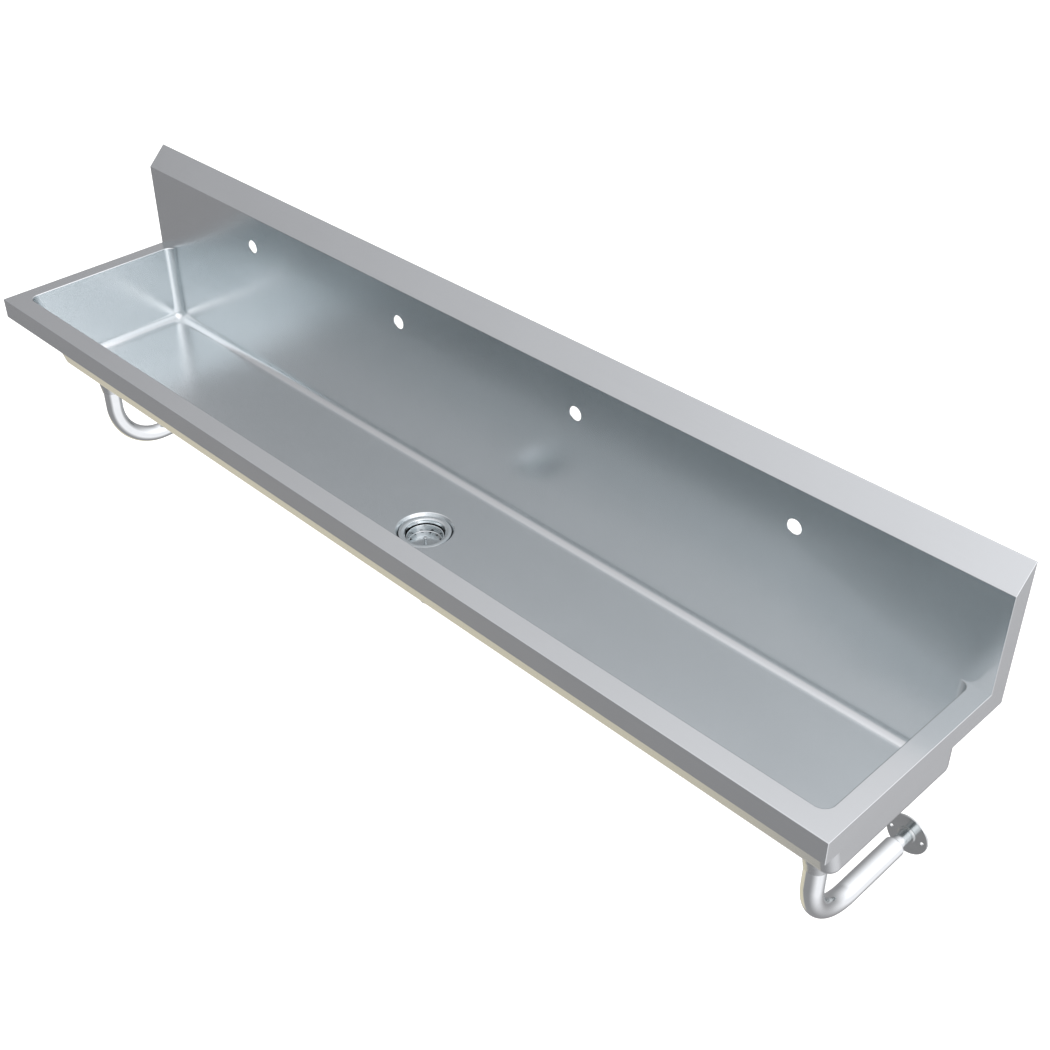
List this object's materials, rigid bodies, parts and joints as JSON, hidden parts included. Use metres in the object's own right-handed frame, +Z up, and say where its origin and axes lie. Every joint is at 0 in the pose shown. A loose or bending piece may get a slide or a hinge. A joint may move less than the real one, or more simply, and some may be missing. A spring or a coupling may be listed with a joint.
{
  "type": "trough sink",
  "caption": "Long wall-hung stainless trough sink with a coved bowl, high splash with tap holes, basket waste and bent-tube wall brackets.",
  "frame": {"origin": "on the wall plane, at mid length and rim height", "axes": "+X along the sink to the right of a person standing at it, +Y to the wall, +Z up"},
  "size_m": [2.4384, 0.5025, 0.757],
  "materials": {
    "sheet": "fine satin grain along the sink",
    "channel": "mill finish",
    "socket": "satin",
    "screw": "plain",
    "tube": "polished",
    "foot": "turned",
    "flange": "satin",
    "strainer": "polished",
    "plated": "bright",
    "brass": "cast",
    "fibre": "matt fibre",
    "rubber": "matt"
  },
  "bodies": {
    "sink": {"bowl_pan": "sheet", "bowl_end_left": "sheet", "bowl_end_right": "sheet", "rim_frame": "sheet", "backsplash": "sheet", "splash_cap_left": "sheet", "splash_cap_right": "sheet", "joint_channel": "channel", "wall_hanger_rail": "channel", "bearer_channel_left": "channel", "bearer_channel_right": "channel", "leg_socket_left": "socket", "leg_socket_right": "socket", "socket_screws": "screw", "strainer_body": "strainer", "strainer_outlet": "strainer", "flange_seal": "rubber", "rubber_gasket": "rubber", "friction_washer": "fibre", "lock_nut": "brass", "tailpiece_washer": "rubber", "tailpiece": "plated", "coupling_nut": "plated"},
    "basket": {"basket": "strainer"},
    "stopper": {"stopper_post": "strainer", "stopper_plate": "strainer", "stopper_seal": "rubber", "stopper_nut": "screw"},
    "leg_left": {"bracket_tube_left": "tube", "tube_insert_left": "socket"},
    "leg_right": {"bracket_tube_right": "tube", "tube_insert_right": "socket"},
    "flange_left": {"wall_flange_left": "flange"},
    "flange_right": {"wall_flange_right": "flange"},
    "stem_left": {"foot_stem_left": "foot"},
    "stem_right": {"foot_stem_right": "foot"}
  },
  "joints": [
    {"name": "basket_lift", "type": "slide", "parent": "sink", "child": "basket", "axis": [0, 0, 1], "range_m": [0, 0.15]},
    {"name": "stopper_press", "type": "slide", "parent": "basket", "child": "stopper", "axis": [0, 0, 1], "range_m": [-0.007, 0]},
    {"name": "leg_swivel_left", "type": "hinge", "parent": "sink", "child": "leg_left", "pos_m": [-1.1073, -0.325, -0.265], "axis": [0, 0, 1], "range_deg": [-90, 90]},
    {"name": "leg_swivel_right", "type": "hinge", "parent": "sink", "child": "leg_right", "pos_m": [1.1073, -0.325, -0.265], "axis": [0, 0, 1], "range_deg": [-90, 90]},
    {"name": "foot_travel_left", "type": "slide", "parent": "leg_left", "child": "flange_left", "axis": [0, 1, 0], "range_m": [-0.01, 0.01]},
    {"name": "foot_travel_right", "type": "slide", "parent": "leg_right", "child": "flange_right", "axis": [0, 1, 0], "range_m": [-0.01, 0.01]},
    {"name": "foot_turn_left", "type": "hinge", "parent": "flange_left", "child": "stem_left", "pos_m": [-1.1073, 0, -0.4595], "axis": [0, 1, 0], "range_deg": [-1440, 1440]},
    {"name": "foot_turn_right", "type": "hinge", "parent": "flange_right", "child": "stem_right", "pos_m": [1.1073, 0, -0.4595], "axis": [0, 1, 0], "range_deg": [-1440, 1440]}
  ],
  "couplings": [
    {"joint": "foot_turn_left", "follows": "foot_travel_left", "rad_per_m": 2513.3},
    {"joint": "foot_turn_right", "follows": "foot_travel_right", "rad_per_m": 2513.3}
  ]
}
